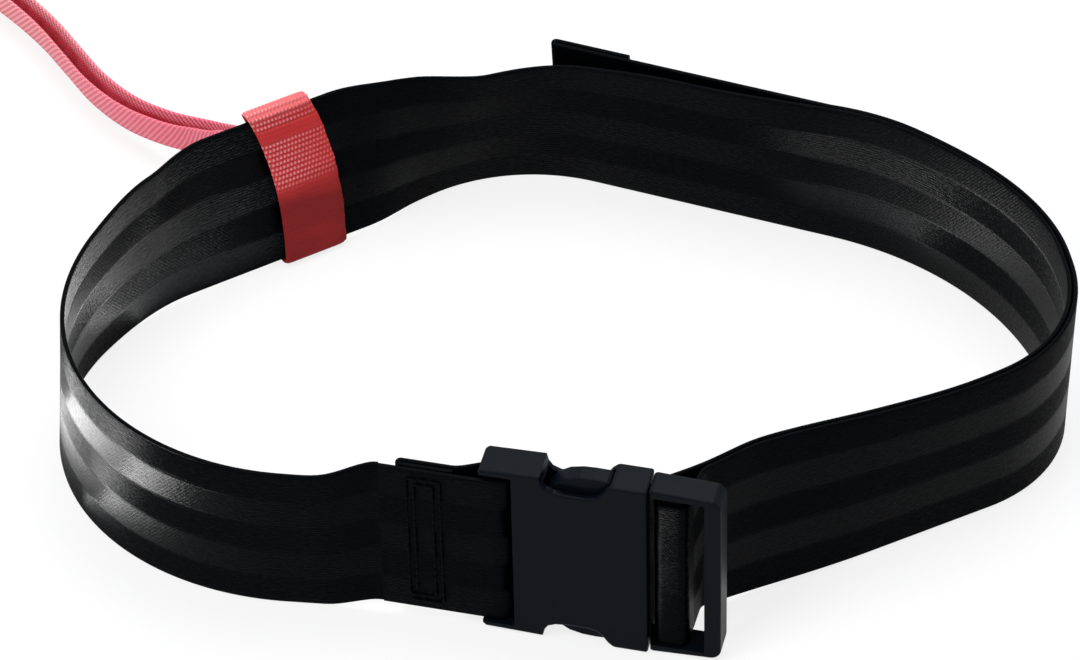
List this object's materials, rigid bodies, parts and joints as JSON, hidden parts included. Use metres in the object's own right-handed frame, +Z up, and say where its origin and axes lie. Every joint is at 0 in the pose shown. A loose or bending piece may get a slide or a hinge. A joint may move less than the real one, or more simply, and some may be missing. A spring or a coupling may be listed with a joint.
{
  "type": "swim parachute belt",
  "caption": "Webbing waist belt with a side release buckle, a sliding loop and a folded tether strap for towing a swim drogue.",
  "frame": {"origin": "centre of the belt's bounding box in plan, at the level it stands on, without the tether", "axes": "+X to the wearer's left, +Y from the buckle to the back of the belt, +Z up"},
  "size_m": [0.3486, 0.4299, 0.0586],
  "materials": {
    "belt_webbing_black": "satin woven nylon",
    "buckle_plastic_black": "satin moulded",
    "black_thread": "matt thread",
    "slider_webbing_red": "ribbed matt webbing",
    "tether_webbing_red": "soft folded webbing",
    "red_thread": "matt thread",
    "tie_elastic_black": "matt elastic",
    "ring_steel": "polished stainless"
  },
  "bodies": {
    "belt": {"belt_webbing": "belt_webbing_black", "belt_front_left": "belt_webbing_black", "tail_layer": "belt_webbing_black", "adjuster_wrap": "belt_webbing_black", "buckle_male_frame": "buckle_plastic_black"},
    "female": {"buckle_female_body": "buckle_plastic_black", "female_strap_wrap": "belt_webbing_black", "strap_end_stitch": "black_thread"},
    "arm_upper": {"buckle_arm_upper": "buckle_plastic_black"},
    "arm_lower": {"buckle_arm_lower": "buckle_plastic_black"},
    "tail": {"tail_end": "belt_webbing_black", "tail_hem_stitch": "black_thread"},
    "slider": {"slider_loop": "slider_webbing_red", "slider_seam_stitch": "red_thread", "tether_lead": "tether_webbing_red", "tether_run": "tether_webbing_red", "tether_coil": "tether_webbing_red", "tether_tie": "tie_elastic_black", "tether_end_eye": "tether_webbing_red", "tether_eye_stitch": "red_thread"},
    "ring": {"tether_end_ring": "ring_steel"}
  },
  "joints": [
    {"name": "buckle_release", "type": "slide", "parent": "belt", "child": "female", "axis": [-0.972, 0.2351, 0], "range_m": [0, 0.036], "deforming": ["belt_front_left", "buckle_arm_upper", "buckle_arm_lower"]},
    {"name": "arm_upper_squeeze", "type": "hinge", "parent": "belt", "child": "arm_upper", "pos_m": [0.01926, -0.10354, 0.05283], "axis": [-0.2344, -0.969, -0.0785], "range_deg": [0, 14], "stiffness_Nm_per_rad": 1.5},
    {"name": "arm_lower_squeeze", "type": "hinge", "parent": "belt", "child": "arm_lower", "pos_m": [0.02013, -0.09994, 0.00578], "axis": [0.2344, 0.969, 0.0785], "range_deg": [0, 14], "stiffness_Nm_per_rad": 1.5},
    {"name": "slider_travel", "type": "slide", "parent": "belt", "child": "slider", "axis": [0.8387, 0.5446, 0], "range_m": [-0.01, 0.006]},
    {"name": "tail_adjust", "type": "slide", "parent": "belt", "child": "tail", "axis": [-0.9311, 0.3649, 0], "range_m": [0, 0.03], "deforming": ["tail_layer"]},
    {"name": "end_ring_swing", "type": "hinge", "parent": "slider", "child": "ring", "pos_m": [-0.16927, 0.25422, 0.0081], "axis": [0, 0, 1], "range_deg": [-60, 60]}
  ]
}
